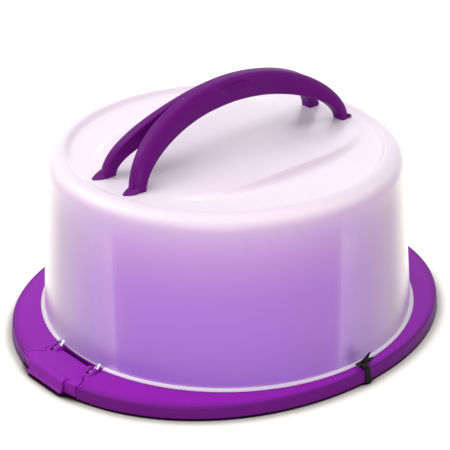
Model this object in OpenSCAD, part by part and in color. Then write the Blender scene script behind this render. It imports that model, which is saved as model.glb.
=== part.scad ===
// Cake carrier: oval tray, round hinged lid with a fixed forked handle, and a flip-up front latch.
// Millimetres, +Z up. The origin is the centre of the tray on the table. -Y is the latch side,
// +Y the hinge side, and the handle runs along Y.

/* [Base tray] */
// Width of the deck outside the lid's wall at the latch end and at the hinge end
deck_end_w = 33.5; // [30:0.5:40]
// Width of the deck outside the lid's wall at the two sides
deck_side_w = 11.1; // [10:0.1:16]
// Height of the rim's flat deck above the table
deck_z = 12.8; // [12.4:0.1:14]
// Wall thickness of the tray moulding
base_wall = 2.2; // [1.8:0.1:2.6]
// Height of the skirt's lower edge above the table
skirt_z = 2; // [1.6:0.1:2.4]
// How far the skirt leans out at its lower edge
skirt_flare = 1; // [0.5:0.1:1.4]
// Height of the cake floor's top face above the table
floor_z = 6.4; // [5.8:0.1:7]
// Height of the upstanding ring that centres the lid, above the table
ring_z = 20; // [17:0.5:21]
// Distance of the foot ring inside the ring that centres the lid
foot_inset = 14.8; // [6:0.2:40]
// Width of the foot ring
foot_w = 4; // [3:0.5:8]

/* [Lid] */
// Outer radius of the lid's wall at the rim
lid_r = 157.7; // [140:0.1:180]
// Inward lean of the lid's wall from rim to top
lid_lean = 10; // [8:0.5:12]
// Height of the lid's shoulder above the table
lid_z = 155; // [146:1:160]
// Radius of the rounded shoulder
shoulder_r = 14.6; // [11:0.2:17]
// Wall thickness of the lid
lid_wall = 1.6; // [1.3:0.1:2]
// Width of the flange round the lid's lower edge
flange_w = 3.65; // [3:0.05:4]
// Thickness of the flange
flange_t = 1.8; // [1.4:0.1:2.2]
// Depth of the dished top inside the shoulder
dish = 4.2; // [3:0.2:5]
// Width of the slope from the shoulder down to the flat top
dish_w = 6.1; // [4:0.1:9]
// Distance of the raised panel's ends inside the edge of the flat top
panel_inset = 7; // [3:0.5:20]
// Width of the raised oval panel
panel_wid = 172; // [150:2:190]
// Height of the raised panel at its middle
panel_rise = 7.5; // [5:0.5:8]
// Gap between the end of the fading panel and the handle's feet
panel_fade_gap = 4.5; // [2:0.1:20]

/* [Handle] */
// Height of the top of the handle above the table
handle_z = 212; // [206:1:222]
// Distance of the handle and the panel behind the lid's middle
handle_shift = 4.5; // [0:0.5:4.5]
// Flatness of the top of the arch, where 2 is an ellipse's
arch_flat = 1.9; // [1.7:0.05:2.3]
// Uprightness of the arch's ends, where 2 is an ellipse's
arch_upright = 1.9; // [1.6:0.05:2.3]
// Distance of the handle's outer ends inside the edge of the flat top
handle_inset = 10; // [9.8:0.1:20]
// Width of the grip in the middle
grip_w = 20; // [18:0.5:25]
// Depth of the grip in the middle
grip_t = 20; // [16:0.5:22]
// Depth of a leg at its foot
leg_t = 10.5; // [9.5:0.5:12]
// Width of a leg at its foot
leg_w = 12; // [10.4:0.2:13]
// Outer width over a pair of feet
feet_wid = 52; // [48:0.5:58]
// Distance from the middle at which the grip forks into two legs
fork_y = 48; // [42:1:56]
// Length of the pointed toe in front of a foot
toe_len = 5.2; // [3:0.2:5.2]
// Width of the snap tab under each foot
tab_w = 8; // [6:0.5:9]
// Thickness of the snap tab under each foot
tab_t = 4; // [3:0.5:5]
// Length of the finger scoop in each side of the grip
scoop_len = 40; // [30:1:46]
// Depth of the finger scoop
scoop_d = 1.2; // [0.8:0.1:1.8]
// Distance of the finger scoop's middle line below the top of the grip
scoop_drop = 6; // [5:0.5:9]

/* [Latch and hinge] */
// Distance of each pivot rod outside the lid's wall
pivot_out = 5.5; // [5.4:0.1:6.2]
// Height of each pivot rod above the table
pivot_z = 9.8; // [9.7:0.1:10]
// Radius of a pivot rod
rod_r = 1.5; // [1.3:0.1:1.6]
// Radius of the clip's end knuckles
knuckle_r = 5; // [4.8:0.1:5.1]
// Radius of the clip's long middle barrel
barrel_r = 2.7; // [2.6:0.1:2.8]
// Half the width over the end knuckles
knuckle_x = 29.5; // [28:0.5:30]
// Width of an end knuckle, both cheeks and the gap for the lug
knuckle_w = 10; // [9:0.5:11]
// Width of a lid lug
lug_w = 3; // [2.6:0.2:3.4]
// Half the width of the clip at its neck
neck_x = 25.5; // [24:0.5:26]
// Half the width of the clip at the rim's edge
flare_x = 34.5; // [33:0.5:37]
// Thickness of the clip's plate and skirt
clip_t = 2; // [1.8:0.1:2.2]
// Width of the finger tab
tab_wid = 45; // [36:1:50]
// How far the finger tab stands out past the rim
tab_out = 3; // [2.6:0.2:5]

/* [Tie] */
// Width of the black tie's band
tie_w = 5.6; // [4:0.2:7]
// Thickness of the tie's band
tie_t = 1.2; // [1:0.1:1.4]
// Length of a pointed tail of the tie's knot
tail_len = 11; // [8:0.5:14]

/* [Clearances] */
// Gap between the clip's edges and the pocket in the rim
clip_gap = 0.4; // [0.3:0.05:0.5]
// Radial running clearance of a rod in its bores
rod_fit = 0.05; // [0.02:0.01:0.1]
// Gap under the lid's flange and under each clip's plate
seat_gap = 0.2; // [0.1:0.05:0.3]
// Gap between a lid lug and the knuckle cheeks beside it
lug_gap = 0.25; // [0.2:0.05:0.35]
// Gap round each handle tab in its slot
slot_gap = 0.3; // [0.2:0.05:0.5]
// Gap round the tie where it bears on the rim
tie_gap = 0.2; // [0.1:0.05:0.3]

/* [Hidden] */
$fn = 96;
purple = [0.50, 0.13, 0.58];
milky = [0.93, 0.86, 0.95, 0.6];
steel = [0.72, 0.72, 0.74];
black = [0.07, 0.06, 0.07];

// The oval rim: its radius swings between the half width and the half length
base_len = 2 * (lid_r + deck_end_w);
base_wid = 2 * (lid_r + deck_side_w);
oval_mean = (base_len + base_wid) / 4;
oval_swing = (base_len - base_wid) / 4;
rim_steps = 80;
edge_round = 2.2;
deck_flat_r = lid_r + flange_w + 2;
ring_t = base_wall;
ring_r = lid_r - lid_wall - 1.3;
foot_r = ring_r - foot_inset;
floor_t = 2.4;
flange_z = deck_z + seat_gap;

// The pocket that a clip lies in
pivot_y = lid_r + pivot_out;
pocket_in = pivot_y - knuckle_r - 0.6;
pocket_floor_t = 2;
pocket_floor_z = skirt_z + pocket_floor_t;
neck_y = pivot_y + knuckle_r + 4.3;
flare_y = base_len / 2 - 7.7;
catch_gap = 1.2;
bead = catch_gap - clip_gap;
plate_z = deck_z - 0.3;
skirt_low = skirt_z + 1;
lug_r = knuckle_r - 1.2;
lug_x = knuckle_x - knuckle_w / 2;
lug_slot = lug_w + 2 * lug_gap;
lug_room = knuckle_r + 0.6;
lug_root_y = lid_r - lid_wall - 1;
rod_len = 2 * knuckle_x - 0.6;
pad_w = 6;
pad_x = 13;

// The dished top and the handle's feet
dish_r = lid_r - lid_lean - shoulder_r - dish_w;
half_span = dish_r - handle_inset;
top_z = lid_z - dish;
foot_z = top_z + 0.1;
foot_x = (feet_wid - leg_w) / 2;
tab_y = half_span - leg_t / 2 - 3;
panel_fade = half_span - leg_t - panel_fade_gap;
crown_r = (panel_fade * panel_fade + panel_rise * panel_rise) / (2 * panel_rise);
panel_power = 0.8;

// How the handle thins, spreads and parts on its way to the feet
thin_power = 3;
spread_start = fork_y - 20;
spread_power = 1.8;
part_power = 2.4;
part_step = 6;
scoop_half_h = 5;

// Where the tie goes through the deck on the +X side
tie_x = lid_r + flange_w + 0.9;
tie_slot = tie_t + 1;
side_r = base_wid / 2;

function oval_radius(a) = oval_mean - oval_swing * cos(2 * a);
function oval_pt(a, out) = (oval_radius(a) + out) * [cos(a), sin(a)];
function oval_outline(out, n) = [for (i = [0:n - 1]) oval_pt(360 * i / n, out)];

// Section of the hollow rim at one angle, as [radius, height] pairs
function rim_section(a) = let (edge = oval_radius(a)) [
    [ring_r - ring_t / 2, deck_z],
    [deck_flat_r, deck_z],
    [edge - edge_round, deck_z - 0.8],
    [edge - 0.6, deck_z - 1.8],
    [edge, deck_z - 3.4],
    [edge + skirt_flare, skirt_z],
    [edge + skirt_flare - base_wall, skirt_z],
    [edge - base_wall, deck_z - 3.4],
    [deck_flat_r, deck_z - base_wall],
    [ring_r - ring_t / 2, deck_z - base_wall]];

// A closed ring of closed sections, given as lists of 3D points
module ring_loft(rings) {
    n = len(rings);
    m = len(rings[0]);
    points = [for (ring = rings) each ring];
    faces = [for (i = [0:n - 1], j = [0:m - 1])
        let (a = i * m + j, b = i * m + (j + 1) % m)
        let (c = ((i + 1) % n) * m + (j + 1) % m, d = ((i + 1) % n) * m + j)
        each [[a, c, b], [a, d, c]]];
    polyhedron(points = points, faces = faces, convexity = 6);
}

module hollow_rim() {
    ring_loft([for (i = [0:rim_steps - 1]) let (a = 360 * i / rim_steps)
        [for (p = rim_section(a)) [p[0] * cos(a), p[0] * sin(a), p[1]]]]);
}

// Half outline of a clip, grown by a gap: half widths against distance from the centre
function clip_half(gap) = [
    [knuckle_x + gap, pocket_in + clip_gap - gap],
    [knuckle_x + gap, neck_y - 1.5],
    [neck_x + gap, neck_y],
    [neck_x + gap, neck_y + 1],
    [neck_x + gap + (flare_x - neck_x) * 0.62, neck_y + (flare_y - neck_y) * 0.47],
    [flare_x + gap, flare_y],
    [flare_x + gap, base_len]];

function mirrored_outline(half) = concat(
    [for (p = half) [p[0], -p[1]]],
    [for (i = [len(half) - 1:-1:0]) [-half[i][0], -half[i][1]]]);

// A block of the clip's outline on the latch side, kept inside the oval grown by out
module clip_block(gap, out, z0, z1) {
    translate([0, 0, z0]) linear_extrude(z1 - z0) intersection() {
        polygon(mirrored_outline(clip_half(gap)));
        polygon(oval_outline(out, 240));
    }
}

module both_ends() {
    children();
    rotate([0, 0, 180]) children();
}

module both_sides() {
    children();
    mirror([1, 0, 0]) children();
}

module x_rod(r, x0, x1) {
    translate([x0, -pivot_y, pivot_z]) rotate([0, 90, 0]) cylinder(r = r, h = x1 - x0);
}

// Walls and floor of the pocket that receives a clip
module pocket_walls() {
    clip_block(clip_gap + base_wall, -0.8, skirt_z, deck_z - 0.5);
}

module pocket_cut() {
    clip_block(clip_gap, 20, pocket_floor_z, deck_z + 10);
    difference() {
        clip_block(clip_gap, 20, -1, deck_z + 10);
        translate([0, 0, -2]) linear_extrude(deck_z + 14)
            polygon(oval_outline(-clip_t - catch_gap, 240));
    }
}

module rest_pads() {
    both_sides() translate([pad_x - pad_w / 2, -neck_y - pad_w, pocket_floor_z - 1])
        cube([pad_w, pad_w, plate_z - clip_t - seat_gap - pocket_floor_z + 1]);
}

module base_tray() {
    color(purple) difference() {
        union() {
            hollow_rim();
            both_ends() pocket_walls();
            rotate_extrude() polygon([
                [0, floor_z - floor_t], [foot_r, floor_z - floor_t], [foot_r, 0],
                [foot_r + foot_w, 0], [foot_r + foot_w, floor_z - floor_t],
                [ring_r, floor_z - floor_t], [ring_r, ring_z - 0.6], [ring_r - 0.6, ring_z],
                [ring_r - ring_t, ring_z], [ring_r - ring_t, floor_z], [0, floor_z]]);
        }
        both_ends() difference() {
            pocket_cut();
            rest_pads();
        }
        translate([tie_x, -tie_w / 2 - 0.4, deck_z - base_wall - 2])
            cube([tie_slot, tie_w + 0.8, base_wall + 4]);
    }
}

// Section of the lid set in by t from its outer face: wall, shoulder and dished top
function lid_section(t) = concat(
    [[0, flange_z - (t > 0 ? 1 : 0)], [lid_r - t, flange_z - (t > 0 ? 1 : 0)]],
    [for (a = [0:7.5:90]) [
        lid_r - lid_lean - shoulder_r + (shoulder_r - t) * cos(a),
        lid_z - shoulder_r + (shoulder_r - t) * sin(a)]],
    [[dish_r, top_z - t], [0, top_z - t]]);

// Raised oval panel, set in by t, its crown fading out before the handle's feet
module top_panel(t) {
    n = 72;
    half_x = panel_wid / 2 - t;
    half_y = dish_r - panel_inset - t;
    translate([0, handle_shift, 0]) intersection() {
        translate([0, 0, top_z - 3]) linear_extrude(panel_rise + 5)
            polygon([for (i = [0:n - 1]) let (c = cos(360 * i / n), s = sin(360 * i / n))
                [half_x * sign(c) * pow(abs(c), panel_power),
                    half_y * sign(s) * pow(abs(s), panel_power)]]);
        translate([-half_x - 1, 0, top_z + panel_rise - t - crown_r]) rotate([0, 90, 0])
            cylinder(r = crown_r, h = 2 * half_x + 2, $fn = 360);
    }
}

// Lug that stands out of the lid's wall and takes the pivot rod
module lid_lug() {
    both_sides() translate([lug_x + lug_w / 2, 0, 0]) rotate([90, 0, -90])
        linear_extrude(lug_w) union() {
        translate([pivot_y, pivot_z]) circle(r = lug_r);
        polygon([[lug_root_y, flange_z], [pocket_in + 0.6, flange_z], [pivot_y, flange_z - 2],
            [pivot_y, pivot_z + lug_r], [pivot_y - 2.7, pivot_z + lug_r + 0.6],
            [lug_root_y, flange_z + 3.4]]);
    }
}

module lid_dome() {
    color(milky) difference() {
        union() {
            rotate_extrude($fn = 180) polygon(lid_section(0));
            difference() {
                translate([0, 0, flange_z]) cylinder(r = lid_r + flange_w, h = flange_t, $fn = 180);
                both_ends() translate([-knuckle_x - clip_gap, -2 * lid_r, 0])
                    cube([2 * (knuckle_x + clip_gap), 1.5 * lid_r, 2 * deck_z]);
            }
            top_panel(0);
            both_ends() lid_lug();
        }
        rotate_extrude($fn = 180) polygon(lid_section(lid_wall));
        top_panel(lid_wall);
        both_ends() x_rod(rod_r + rod_fit, -knuckle_x, knuckle_x);
        for (x = [-foot_x, foot_x], y = [-tab_y, tab_y])
            translate([x - tab_w / 2 - slot_gap, handle_shift + y - tab_t / 2 - slot_gap, top_z - 10])
                cube([tab_w + 2 * slot_gap, tab_t + 2 * slot_gap, 20]);
    }
}

// Handle: arched profile along Y crossed with a forked outline in plan
arch_rise = handle_z - foot_z;

function arch_z(u) = foot_z + arch_rise * pow(1 - pow(abs(u), arch_flat), 1 / arch_upright);
function arch_pt(s) = [half_span * sin(s), arch_z(sin(s))];
function arch_in(s) = let (p = arch_pt(s - 0.5), q = arch_pt(s + 0.5), d = q - p)
    arch_pt(s) + [d[1], -d[0]] / norm(d) * (grip_t + (leg_t - grip_t) * pow(abs(sin(s)), thin_power));

module arch_profile() {
    polygon(concat(
        [for (s = [-90:5:90]) arch_pt(s)],
        [[half_span - leg_t, foot_z]],
        [for (s = [80:-5:-80]) arch_in(s)],
        [[leg_t - half_span, foot_z]]));
}

function splay(y, start, power) = pow(max(0, (abs(y) - start) / (half_span - start)), power);
function leg_outer(y) =
    grip_w / 2 + (feet_wid - grip_w) / 2 * splay(y, spread_start, spread_power);
function leg_inner(y) = (feet_wid / 2 - leg_w) * splay(y, fork_y, part_power);

module fork_plan() {
    ys = [for (i = [-24:24]) i * (half_span + 2) / 24];
    part_ys = [for (y = [fork_y + part_step:part_step:half_span + 8]) y];
    difference() {
        polygon(concat([for (y = ys) [leg_outer(y), y]],
            [for (i = [len(ys) - 1:-1:0]) [-leg_outer(ys[i]), ys[i]]]));
        for (side = [-1, 1]) {
            polygon(concat([[0, side * fork_y]],
                [for (y = part_ys) [leg_inner(y), side * y]],
                [for (i = [len(part_ys) - 1:-1:0]) [-leg_inner(part_ys[i]), side * part_ys[i]]]));
        }
    }
}

// A lens-shaped cutter that leaves a shallow scoop in the side of the grip
module scoop() {
    spindle_r = (scoop_len * scoop_len / 4 + scoop_half_h * scoop_half_h) / (2 * scoop_half_h);
    translate([grip_w / 2 + scoop_half_h - scoop_d, 0, handle_z - scoop_drop]) rotate([90, 0, 0])
        rotate_extrude($fn = 32) intersection() {
            translate([scoop_half_h - spindle_r, 0]) circle(r = spindle_r);
            translate([0, -scoop_len / 2]) square([scoop_half_h + 1, scoop_len]);
        }
}

// A thin toe that starts inside the foot and narrows to a blunt point
module toe() {
    toe_end = toe_len + 2;
    intersection() {
        translate([leg_w / 2, 0, 0]) rotate([90, 0, -90]) linear_extrude(leg_w)
            polygon([[0, 0], [-toe_end, 0], [-toe_end, 0.7], [-3, 3.2], [0, 5]]);
        linear_extrude(6) polygon([[-leg_w / 2, 0], [leg_w / 2, 0], [leg_w / 2, 2.6],
            [1.8, toe_end], [-1.8, toe_end], [-leg_w / 2, 2.6]]);
    }
}

// The toes stop short of the slope round the dished top
module toes() {
    intersection() {
        both_ends() for (x = [-foot_x, foot_x]) translate([x, half_span - 2, foot_z]) toe();
        translate([0, -handle_shift, 0]) cylinder(r = dish_r - 0.5, h = handle_z, $fn = 180);
    }
}

module snap_tabs() {
    for (x = [-foot_x, foot_x]) {
        translate([x - tab_w / 2, tab_y - tab_t / 2, top_z - lid_wall - 3])
            cube([tab_w, tab_t, lid_wall + 4]);
        translate([x + tab_w / 2, tab_y, top_z - lid_wall - 3]) rotate([90, 0, -90])
            linear_extrude(tab_w) polygon([[0, 0], [tab_t / 2, 0], [tab_t / 2 + 1.4, 2.2],
                [tab_t / 2 + 1.4, 2.8], [0, 2.8]]);
    }
}

module carry_handle() {
    color(purple) translate([0, handle_shift, 0]) {
        difference() {
            intersection() {
                translate([-feet_wid, 0, 0]) rotate([90, 0, 90]) linear_extrude(2 * feet_wid)
                    arch_profile();
                translate([0, 0, foot_z]) linear_extrude(arch_rise + 1) fork_plan();
            }
            both_sides() scoop();
        }
        toes();
        both_ends() snap_tabs();
    }
}

// Section of the finger tab along X, from the skirt outwards, as [distance, height]
rim_y = base_len / 2;
tab_section = [
    [rim_y - 9, plate_z - 0.6], [rim_y - 8, plate_z + 0.4], [rim_y - 1.8, plate_z + 1.2],
    [rim_y - 0.6, plate_z + 0.9], [rim_y, plate_z], [rim_y + tab_out - 1.6, skirt_low + 2.4],
    [rim_y + tab_out, skirt_low + 1.2], [rim_y + tab_out, skirt_low],
    [rim_y + tab_out - clip_t - 1, skirt_low], [rim_y - 1.6, plate_z - 1.6]];

// One clip moulding: plate, barrel, knuckles, skirt, snap bead and finger tab
module clip() {
    difference() {
        union() {
            difference() {
                clip_block(0, -0.4, plate_z - clip_t, plate_z);
                translate([-flare_x, -pivot_y, 0]) cube([2 * flare_x, pivot_y, 2 * deck_z]);
            }
            difference() {
                clip_block(0, 0.4, skirt_low, plate_z - 0.6);
                translate([0, 0, skirt_low - 1]) linear_extrude(plate_z)
                    polygon(oval_outline(-clip_t, 240));
            }
            x_rod(barrel_r, -knuckle_x, knuckle_x);
            both_sides() x_rod(knuckle_r, knuckle_x - knuckle_w, knuckle_x);
            translate([tab_wid / 2, 0, 0]) rotate([90, 0, -90]) linear_extrude(tab_wid)
                polygon(tab_section);
            translate([-12, -rim_y + clip_t - 0.6, skirt_low + 0.6]) cube([24, bead + 0.6, 1.2]);
        }
        x_rod(rod_r + rod_fit, -knuckle_x - 1, knuckle_x + 1);
        both_sides() translate([lug_x - lug_slot / 2, -pivot_y - lug_room, 0])
            cube([lug_slot, 2 * lug_room, 2 * deck_z]);
    }
}

module pivot_rod() {
    color(steel) x_rod(rod_r, -rod_len / 2, rod_len / 2);
}

module front_latch() {
    color(purple) clip();
}

module front_latch_rod() {
    pivot_rod();
}

module rear_hinge_clip() {
    color(purple) rotate([0, 0, 180]) clip();
}

module rear_hinge_rod() {
    rotate([0, 0, 180]) pivot_rod();
}

// Inside line of the tie, drawn taut round the rim's section on the +X side
tie_inner = [
    [tie_x + tie_slot / 2 + tie_t / 2, deck_z + tie_gap],
    [side_r - edge_round, deck_z - 0.8 + tie_gap],
    [side_r - 0.4, deck_z - 1.8 + tie_gap],
    [side_r + tie_gap, deck_z - 3.4],
    [side_r + skirt_flare + tie_gap, skirt_z - tie_gap],
    [side_r + skirt_flare - base_wall - tie_gap, skirt_z - tie_gap],
    [tie_x + tie_slot / 2 + tie_t / 2, deck_z - base_wall - tie_gap]];

module tie_band() {
    color(black) translate([0, tie_w / 2, 0]) rotate([90, 0, 0]) linear_extrude(tie_w) difference() {
        offset(r = tie_t, $fn = 16) polygon(tie_inner);
        polygon(tie_inner);
    }
}

// Knot on the deck with four pointed tails
knot_x = tie_x + 0.4 * (side_r - tie_x);
knot_z = deck_z + tie_gap + tie_t;

module tail(turn, tilt) {
    translate([knot_x, 0, knot_z + 1.6]) rotate([0, -tilt, turn]) linear_extrude(1.1)
        polygon([[0, -1.8], [tail_len * 0.45, -2.2], [tail_len, 0], [tail_len * 0.45, 2.2], [0, 1.8]]);
}

module tie_knot() {
    color(black) {
        translate([knot_x, 0, knot_z]) intersection() {
            translate([-3, -3.4, 0]) cube([6, 6.8, 3.8]);
            translate([0, 0, 0.6]) sphere(r = 4, $fn = 32);
        }
        tail(84, 10);
        tail(-88, 15);
        tail(62, 62);
        tail(-30, 58);
    }
}

base_tray();
lid_dome();
carry_handle();
front_latch();
front_latch_rod();
rear_hinge_clip();
rear_hinge_rod();
tie_band();
tie_knot();
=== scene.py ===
# %% [markdown]
# # A cake carrier with a hinged lid
# The real object is nine pieces: an oval tray, a round translucent lid, a forked carrying handle,
# a clip at each end with its steel rod, and a black plastic tie with its knot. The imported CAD
# model gives every size. This notebook dresses it: each section makes one piece or one finish.

import math

import bpy
import bmesh
import numpy as np
from mathutils import Matrix, Vector


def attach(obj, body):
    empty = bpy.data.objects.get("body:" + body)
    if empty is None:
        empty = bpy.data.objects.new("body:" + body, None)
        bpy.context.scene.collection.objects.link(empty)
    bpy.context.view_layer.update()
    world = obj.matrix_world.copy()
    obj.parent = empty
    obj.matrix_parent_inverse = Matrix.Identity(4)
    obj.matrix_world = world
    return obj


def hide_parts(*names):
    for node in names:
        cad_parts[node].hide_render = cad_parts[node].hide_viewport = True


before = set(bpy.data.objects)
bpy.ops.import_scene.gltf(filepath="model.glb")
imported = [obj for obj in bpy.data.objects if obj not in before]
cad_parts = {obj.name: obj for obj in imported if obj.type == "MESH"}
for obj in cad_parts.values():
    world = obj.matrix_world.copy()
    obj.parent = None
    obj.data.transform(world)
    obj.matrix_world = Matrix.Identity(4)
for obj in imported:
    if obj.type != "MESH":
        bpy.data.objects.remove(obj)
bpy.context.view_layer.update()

# %% [markdown]
# ## Camera
# The photograph was measured outline by outline, and a pinhole camera was fitted to it: a long
# lens from the right of the latch, 26 degrees up. It is made first, so that every later piece can
# be judged through it. The three direction vectors are the rows of the fitted rotation.

# %% Make the camera
CAMERA_PLACE = (0.866182, -0.746232, 0.637750)
CAMERA_RIGHT = Vector((0.65640, 0.75431, -0.01213)).normalized()
CAMERA_FORWARD = Vector((-0.68111, 0.58564, -0.43945)).normalized()
CAMERA_LENS_MM = 120
CAMERA_SENSOR_MM = 36

camera_data = bpy.data.cameras.new("photo_camera")
camera_data.sensor_fit = "HORIZONTAL"
camera_data.sensor_width = CAMERA_SENSOR_MM
camera_data.lens = CAMERA_LENS_MM
camera = bpy.data.objects.new("photo_camera", camera_data)
bpy.context.scene.collection.objects.link(camera)
camera_up = CAMERA_RIGHT.cross(CAMERA_FORWARD).normalized()
turn = Matrix((CAMERA_RIGHT, camera_up, -CAMERA_FORWARD)).transposed()
camera.matrix_world = Matrix.Translation(CAMERA_PLACE) @ turn.to_4x4()
bpy.context.scene.camera = camera
print("camera distance, m:", round(Vector(CAMERA_PLACE).length, 3))

# %% [markdown]
# ## Helpers for meshes
# The pieces are thin mouldings whose sections follow simple rules, so most of them are made as
# rows of points joined by quads. One function turns points and faces into a piece, one joins rows
# of points by quads, and one closes a piece: it merges doubles, points the faces outwards, smooths
# them, and prints the piece's size and how many edges are still open.

# %% Mesh helpers
MM = 0.001
WELD_M = 1e-6


def make_piece(name, points_mm, faces):
    """A piece at the world's origin, with its place in its mesh."""
    mesh = bpy.data.meshes.new(name)
    mesh.from_pydata([tuple(c * MM for c in p) for p in points_mm], [], faces)
    mesh.validate()
    piece = bpy.data.objects.new(name, mesh)
    bpy.context.scene.collection.objects.link(piece)
    return piece


def close_up(piece, sharp_deg=35):
    """Merges doubles, points the faces outwards and smooths all but the sharp edges."""
    soft = bmesh.new()
    soft.from_mesh(piece.data)
    bmesh.ops.remove_doubles(soft, verts=soft.verts, dist=WELD_M)
    bmesh.ops.dissolve_degenerate(soft, dist=WELD_M / 10, edges=soft.edges)
    bmesh.ops.recalc_face_normals(soft, faces=soft.faces)
    open_edges = sum(1 for e in soft.edges if len(e.link_faces) != 2)
    soft.to_mesh(piece.data)
    soft.free()
    piece.data.shade_smooth()
    piece.data.set_sharp_from_angle(angle=math.radians(sharp_deg))
    size = [round(d / MM, 1) for d in piece.dimensions]
    print(f"{piece.name}: {len(piece.data.polygons)} faces, {open_edges} open edges, {size} mm")
    return piece


def rows_to_faces(rows, columns, wrap_rows=False):
    """Quads between rows of points, where each row is closed on itself."""
    faces = []
    for row in range(rows if wrap_rows else rows - 1):
        here, there = row * columns, (row + 1) % rows * columns
        for column in range(columns):
            across = (column + 1) % columns
            faces.append((here + column, here + across, there + across, there + column))
    return faces


print("meshes are in metres, sizes in millimetres:", MM)


# %% [markdown]
# ## Helper for node trees
# Every material and every Geometry Nodes tree is built with one function. It adds a node, sets
# its properties, and either types a value into an input or links another node's output to it. A
# second one adds a step of arithmetic, which both kinds of tree need most. Colours are written as
# sRGB hex, as a colour picker shows them, and turned to linear here.

# %% Node helpers and colour
def add(tree, kind, settings=None, inputs=None):
    node = tree.nodes.new(kind)
    for key, value in (settings or {}).items():
        setattr(node, key, value)
    for key, value in (inputs or {}).items():
        if isinstance(value, bpy.types.NodeSocket):
            tree.links.new(value, node.inputs[key])
        else:
            node.inputs[key].default_value = value
    return node


def calc(tree, operation, *values, clamp=False):
    """One step of arithmetic: numbers or sockets in, a socket out."""
    settings = {"operation": operation, "use_clamp": clamp}
    return add(tree, "ShaderNodeMath", settings, dict(enumerate(values))).outputs[0]


def colour(hex_code):
    """An sRGB hex colour as the linear values that a shader works with."""
    parts = [int(hex_code[i:i + 2], 16) / 255 for i in (1, 3, 5)]
    return [p / 12.92 if p <= 0.04045 else ((p + 0.055) / 1.055) ** 2.4 for p in parts] + [1.0]


def new_material(name):
    material = bpy.data.materials.new(name)
    material.use_nodes = True
    material.node_tree.nodes.clear()
    return material, material.node_tree


print("mid grey as linear values:", [round(c, 3) for c in colour("#808080")])


# %% [markdown]
# ## Purple polypropylene
# The tray, the clips and the handle are injection-moulded polypropylene, coloured in the mass.
# Moulds for such wares are spark-eroded to a fine satin: the eye sees broad soft highlights and
# hardly any grain. The grain is a noise of 0.5 mm, coarser than the real 0.1 mm so that it shows,
# and a slow second noise shades the colour a little, as flow in the mould does. Below a height just
# inside the deck's edge the colour falls to a share of itself: this is painted shade, which makes
# the skirt read darker, as it stands in the shade of the rim.

# %% Purple mouldings
GRAIN_PER_M, GRAIN_DEPTH_M, GRAIN_STRENGTH = 2000, 0.00004, 0.35
FLOW_PER_M = 9
POLYPROPYLENE_IOR = 1.49
SATIN_SHINE = 0.1
SKIRT_TOP_Z, SKIRT_BLEND = 0.01225, 0.0005


def moulded(name, dark, light, roughness, painted_shade_share=1.0):
    material, tree = new_material(name)
    place = add(tree, "ShaderNodeTexCoord").outputs["Object"]
    flow = add(tree, "ShaderNodeTexNoise", {}, {"Vector": place, "Scale": FLOW_PER_M, "Detail": 3.0})
    shade = add(tree, "ShaderNodeMix", {"data_type": "RGBA"}, {
        "Factor": flow.outputs["Fac"], 6: colour(dark), 7: colour(light)})
    # Painted shade: below the deck's edge the colour falls to a share of itself, so the skirt reads darker.
    skirt = add(tree, "ShaderNodeMapRange", {}, {
        "Value": add(tree, "ShaderNodeSeparateXYZ", {}, {"Vector": place}).outputs["Z"],
        "From Min": SKIRT_TOP_Z - SKIRT_BLEND, "From Max": SKIRT_TOP_Z, "To Min": painted_shade_share})
    shaded = add(tree, "ShaderNodeVectorMath", {"operation": "SCALE"}, {
        0: shade.outputs[2], "Scale": skirt.outputs["Result"]})
    grain = add(tree, "ShaderNodeTexNoise", {}, {"Vector": place, "Scale": GRAIN_PER_M, "Detail": 2.0})
    bump = add(tree, "ShaderNodeBump", {}, {
        "Height": grain.outputs["Fac"], "Distance": GRAIN_DEPTH_M, "Strength": GRAIN_STRENGTH})
    surface = add(tree, "ShaderNodeBsdfPrincipled", {}, {
        "Base Color": shaded.outputs["Vector"], "Roughness": roughness, "IOR": POLYPROPYLENE_IOR,
        "Specular IOR Level": SATIN_SHINE, "Normal": bump.outputs["Normal"]})
    add(tree, "ShaderNodeOutputMaterial", {}, {"Surface": surface.outputs["BSDF"]})
    return material


# The tray's skirt and the clip's lower part get painted shade; the handle gets none.
tray_purple = moulded("moulded_polypropylene_purple", "#831698", "#9020AC", 0.42, painted_shade_share=0.48)
handle_purple = moulded("moulded_polypropylene_deep_purple", "#570464", "#620770", 0.40)
clip_purple = moulded("moulded_polypropylene_clip", "#831698", "#9020AC", 0.40, painted_shade_share=0.75)
print("purple materials:", tray_purple.name, handle_purple.name, clip_purple.name)

# %% [markdown]
# ## Frosted lid
# The lid is natural polypropylene 1.6 mm thick: milky, so part of the light goes straight through
# and the rest scatters. It is thicker on top than in the wall, so the density follows the height.
# The tint follows the height too, and is painted light: the top is nearly white and the wall goes
# to lavender towards the tray, painted in for the light that the purple tray throws up into the
# wall's foot. Each wall is two surfaces, and a shadow ray meets less of the milk than the eye does,
# which keeps the inside lit as in the photo. Seen edge on, the way through the milk is long and
# white surroundings shine in and mirror in the satin skin, so the two outer edges of the wall go
# white: the milk's colour is painted whiter there, partly for the long way through it and partly as
# painted light from the white surroundings, while a mirror shader gives the real gloss. The tints
# are given by the share of the lid's height: 0.97 is the dish, and 1 is the crest of the shoulder
# and the raised panel, whose tint is set darker than the dish's as painted shade, as lamps hit the
# crest squarely.

# %% Lid materials
WALL_FOOT_Z, LID_TOP_Z = 0.013, 0.155
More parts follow.
